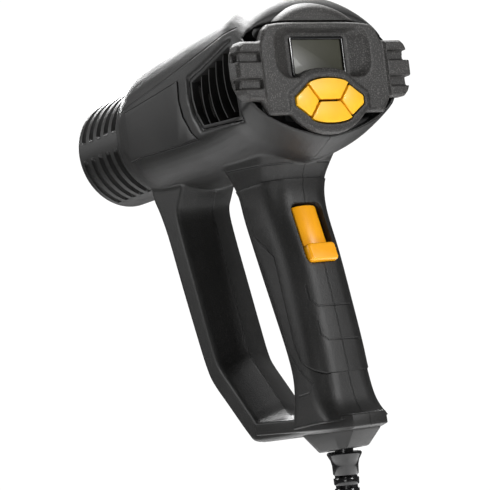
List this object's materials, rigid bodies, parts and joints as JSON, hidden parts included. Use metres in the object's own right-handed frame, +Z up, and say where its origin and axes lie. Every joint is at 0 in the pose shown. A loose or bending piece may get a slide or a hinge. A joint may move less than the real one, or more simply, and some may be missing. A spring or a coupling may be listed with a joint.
{
  "type": "heat gun",
  "caption": "Corded hot air gun with a closed front hand guard, a display panel with keys, a slide switch and a grooved heat guard ring.",
  "frame": {"origin": "centre of the hand grip, on the symmetry plane", "axes": "-X out of the nozzle, +X towards the display panel, +Z up from the cord to the barrel, -Y the operator's left"},
  "size_m": [0.233, 0.125, 0.5249],
  "materials": {
    "housing": "fine textured charcoal",
    "trim": "speckled dark grey",
    "grip": "soft satin",
    "keys": "satin amber",
    "switch": "glossy orange yellow",
    "glass": "dark olive display",
    "steel": "brushed",
    "mica": "matt",
    "element": "oxidised",
    "fan": "moulded",
    "board": "lacquered",
    "mat": "silicone",
    "flex": "glossy black"
  },
  "bodies": {
    "housing": {"left_shell": "housing", "right_shell": "housing", "left_vent": "housing", "right_vent": "housing", "left_badge": "trim", "right_badge": "trim", "nozzle_tube": "steel", "nozzle_flange": "steel", "mica_tube": "mica", "heater_core": "mica", "heating_coil": "element", "temperature_probe": "steel", "fan_duct": "housing", "motor": "steel", "motor_mount": "housing", "power_board": "board", "board_parts": "fan", "rear_cap": "trim", "rear_bezel": "trim", "rest_pads": "trim", "display_frame": "trim", "display_glass": "glass", "display_board": "board", "key_mat": "mat", "grip_cover": "grip", "switch_plate": "housing", "switch_body": "fan", "cable_clamp": "housing", "clamp_screws": "steel", "foot_cap": "housing", "shell_screws": "steel", "bezel_screws": "steel", "strain_relief": "flex", "mains_cord": "flex", "cord_coil": "flex", "coil_tie": "flex", "plug_body": "flex", "plug_pins": "steel"},
    "rotor": {"fan": "fan", "motor_shaft": "steel"},
    "guard_ring": {"heat_guard": "housing"},
    "switch": {"switch_slider": "switch"},
    "top_key": {"key_top": "keys"},
    "bottom_key": {"key_bottom": "keys"},
    "left_key": {"key_left": "keys"},
    "right_key": {"key_right": "keys"}
  },
  "joints": [
    {"name": "fan_spin", "type": "hinge", "parent": "housing", "child": "rotor", "pos_m": [-0.06, 0, 0.13], "axis": [1, 0, 0], "continuous": true},
    {"name": "guard_pull", "type": "slide", "parent": "housing", "child": "guard_ring", "axis": [-1, 0, 0], "range_m": [0, 0.03]},
    {"name": "switch_slide", "type": "slide", "parent": "housing", "child": "switch", "axis": [-0.2351, 0, 0.972], "range_m": [0, 0.008]},
    {"name": "top_key_press", "type": "slide", "parent": "housing", "child": "top_key", "axis": [-0.9981, 0, 0.061], "range_m": [0, 0.0008], "stiffness_N_per_m": 900},
    {"name": "bottom_key_press", "type": "slide", "parent": "housing", "child": "bottom_key", "axis": [-0.9981, 0, 0.061], "range_m": [0, 0.0008], "stiffness_N_per_m": 900},
    {"name": "left_key_press", "type": "slide", "parent": "housing", "child": "left_key", "axis": [-0.9981, 0, 0.061], "range_m": [0, 0.0008], "stiffness_N_per_m": 900},
    {"name": "right_key_press", "type": "slide", "parent": "housing", "child": "right_key", "axis": [-0.9981, 0, 0.061], "range_m": [0, 0.0008], "stiffness_N_per_m": 900}
  ]
}
